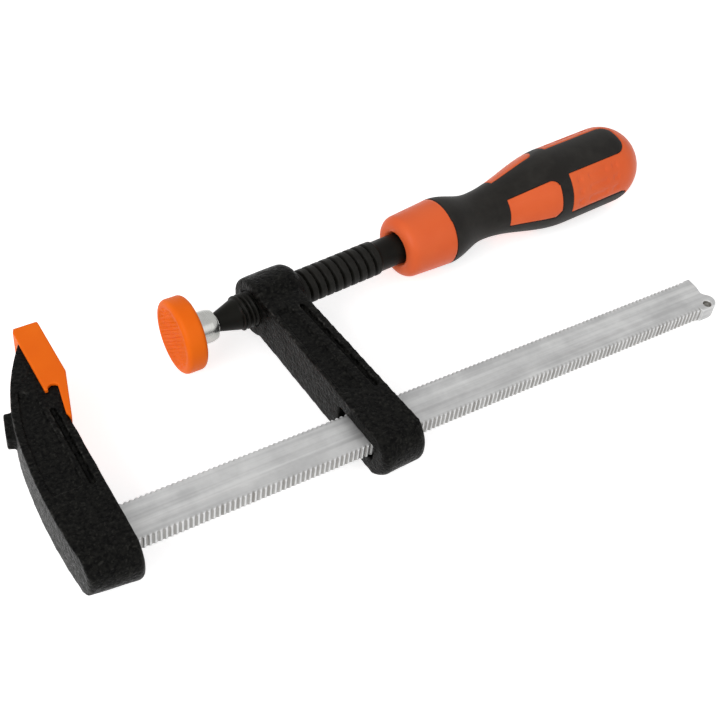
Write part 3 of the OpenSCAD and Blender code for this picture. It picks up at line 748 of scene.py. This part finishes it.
def cut_grid(us, columns):
    """Cuts a grid of (u, angle) cells along the grip's outline.

    Returns the points, the faces on the grip and off it, and the outline's own edges."""
    unit = TURN / columns
    side = grip_side(us[:, None], (np.arange(columns) * unit)[None, :])
    points = []
    index = {}

    def point(i, j, di, dj):
        key = (i, j % columns, di, dj)
        if key not in index:
            index[key] = len(points)
            share = 0.0
            if di or dj:
                a, b = side[i, j % columns], side[i + di, (j + dj) % columns]
                share = min(0.88, max(0.12, a / (a - b)))
            points.append((us[i] + di * share * (us[min(i + di, len(us) - 1)] - us[i]),
                           (j % columns + dj * share) * unit, bool(di or dj)))
        return index[key]

    on, off, outline = [], [], []
    for i in range(len(us) - 1):
        for j in range(columns):
            corners = ((i, j), (i, j + 1), (i + 1, j + 1), (i + 1, j))
            spans = ((i, j, 0, 1), (i, j + 1, 1, 0), (i + 1, j, 0, 1), (i, j, 1, 0))
            below = [side[a, b % columns] < 0 for a, b in corners]
            inner, outer, cut = [], [], []
            for k in range(4):
                (inner if below[k] else outer).append(point(*corners[k], 0, 0))
                if below[k] != below[(k + 1) % 4]:
                    crossing = point(*spans[k])
                    inner.append(crossing)
                    outer.append(crossing)
                    cut.append(crossing)
            if inner:
                on.append(inner)
            if outer:
                off.append(outer)
            if len(cut) == 2:
                outline.append(cut)
    return np.array(points), on, off, outline


def pattern_depth(u, angle):
    """Depth of the moulded cells on the rear panels."""
    turn = np.degrees(panel_angle(angle, 1))
    off_row = np.minimum.reduce([np.abs(turn - row) for row in CELL_ROWS])
    across = step(CELL_HALF_ROW - off_row, 0, 1.2)
    along = sum(step(u, start, start + 0.5) * step(-u, -end, 0.5 - end) for start, end in CELL_SPANS)
    return CELL_DEPTH * across * along


def build_handle():
    lip = COLLAR_ROUND * (1 - np.cos(np.radians(np.linspace(20, 90, 8))))
    side = np.linspace(COLLAR_ROUND, BUTT_U, 170)[1:]
    butt = BUTT_U + BUTT_L * np.sin(np.radians(np.linspace(0, 88, 36)))[1:]
    us = np.concatenate((lip, side, butt))
    points, on, off, outline = cut_grid(us, HANDLE_COLUMNS)
    u, angle, edge = points.T
    top = handle_r(u) - SEAM_DEPTH * edge
    floor = handle_r(u) - GRIP_T

    def ring_points(radius):
        return np.column_stack((u, radius * np.cos(angle), radius * np.sin(angle)))

    count = len(points)
    walls = [[a, b, b + count, a + count] for a, b in outline]
    upper = ring_points(top - np.where(edge > 0, 0, pattern_depth(u, angle)))
    lower = ring_points(floor)

    bore_end = TANG_L + 0.05
    inner = [(0.03, COLLAR_FRONT_R - COLLAR_ROUND + 0.4), (0, RECESS_R + 0.6)]
    inner += [(0.08, RECESS_R + 0.2), (0.35, RECESS_R - 0.15)]
    inner += [(RECESS_DEPTH, HANDLE_BORE_R), (bore_end, HANDLE_BORE_R), (bore_end, 0)]
    hollow, hollow_faces = turned(inner, HANDLE_COLUMNS)
    tip = (HANDLE_L, 0, 0)
    cloud = np.concatenate((upper, lower, hollow, [tip]))
    first = [k for k in range(count) if u[k] == us[0] and not edge[k]]
    last = [k for k in range(count) if u[k] == us[-1] and not edge[k]]
    first.sort(key=lambda k: angle[k])
    last.sort(key=lambda k: angle[k])
    pairs = [(k, (k + 1) % HANDLE_COLUMNS) for k in range(HANDLE_COLUMNS)]
    joins = [[first[k], first[n], 2 * count + n, 2 * count + k] for k, n in pairs]
    caps = [[last[k], last[n], len(cloud) - 1] for k, n in pairs]
    core = off + [[k + count for k in face] for face in on] + walls + joins + caps
    core += [[k + 2 * count for k in face] for face in hollow_faces]
    stand_in(clean_mesh("handle_core", cloud, core), "handle_core", 50)

    proud = ring_points(top + 0.02 * (1 - edge))
    seat = ring_points(floor + 0.02)
    grip = on + [[k + count for k in face[::-1]] for face in on] + walls
    stand_in(clean_mesh("handle_grip", np.concatenate((proud, seat)), grip), "handle_grip", 50)


def clean_mesh(name, points, faces):
    """A handle mesh without the points that no face uses."""
    used = sorted(set(k for face in faces for k in face))
    where = {k: n for n, k in enumerate(used)}
    return mesh_of(name, points[used], [[where[k] for k in face] for face in faces], HANDLE)


# ---- Stage and light ----

def sees_background(tree):
    """1 for rays from the camera, a mirror or glass, which see the pale background, and 0 for others."""
    path = tree.nodes.new("ShaderNodeLightPath")
    share = path.outputs["Is Camera Ray"]
    for kind in ("Is Glossy Ray", "Is Transmission Ray"):
        larger = tree.nodes.new("ShaderNodeMath")
        larger.operation = "MAXIMUM"
        tree.links.new(share, larger.inputs[0])
        tree.links.new(path.outputs[kind], larger.inputs[1])
        share = larger.outputs[0]
    return share


def add_stage():
    floor_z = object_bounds()[0][2] - FLOOR_GAP * MM
    mesh = bpy.data.meshes.new("floor")
    corners = [(FLOOR_HALF * x, FLOOR_HALF * y, floor_z) for x, y in ((-1, -1), (1, -1), (1, 1), (-1, 1))]
    mesh.from_pydata(corners, [], [(0, 1, 2, 3)])
    floor = bpy.data.objects.new("floor", mesh)
    bpy.context.scene.collection.objects.link(floor)
    shader = Shader("floor", Roughness=0.9, Specular_IOR_Level=0.0)
    shader.bsdf.inputs["Base Color"].default_value = FLOOR_COLOR
    glow = shader.add("ShaderNodeEmission", Color=(1, 1, 1, 1))
    shader.put(glow.inputs["Strength"], shader.math("MULTIPLY", sees_background(shader.tree), FLOOR_GLOW))
    total = shader.add("ShaderNodeAddShader")
    shader.put(total.inputs[0], shader.bsdf.outputs[0])
    shader.put(total.inputs[1], glow.outputs[0])
    shader.put(shader.tree.nodes["Material Output"].inputs["Surface"], total.outputs[0])
    mesh.materials.append(shader.material)


def add_lamp(name, place, size, power):
    data = bpy.data.lights.new(name, "AREA")
    data.shape = "SQUARE"
    data.size = size
    data.energy = power
    lamp = bpy.data.objects.new(name, data)
    lamp.location = place
    lamp.rotation_euler = (CAM_TARGET - Vector(place)).to_track_quat("-Z", "Y").to_euler()
    bpy.context.scene.collection.objects.link(lamp)


def add_light():
    world = bpy.data.worlds.new("studio")
    bpy.context.scene.world = world
    world.use_nodes = True
    tree = world.node_tree
    background = tree.nodes["Background"]
    level = tree.nodes.new("ShaderNodeMapRange")
    level.inputs["To Min"].default_value = WORLD_LEVEL
    level.inputs["To Max"].default_value = BACKGROUND_LEVEL
    tree.links.new(sees_background(tree), level.inputs["Value"])
    tree.links.new(level.outputs[0], background.inputs["Strength"])
    background.inputs["Color"].default_value = (1, 1, 1, 1)
    for name, place, size, power in LAMPS:
        add_lamp(name, place, size, power)


bpy.context.scene.view_settings.view_transform = "Standard"
add_camera()
add_stage()
add_light()
build_bar()
build_castings()
build_jaw_cap()
build_pad()
build_spindle()
build_handle()
ball = frame["nodes"]["spindle_ball"].data
ball.materials.clear()
ball.materials.append(MATERIALS["bright_steel"])
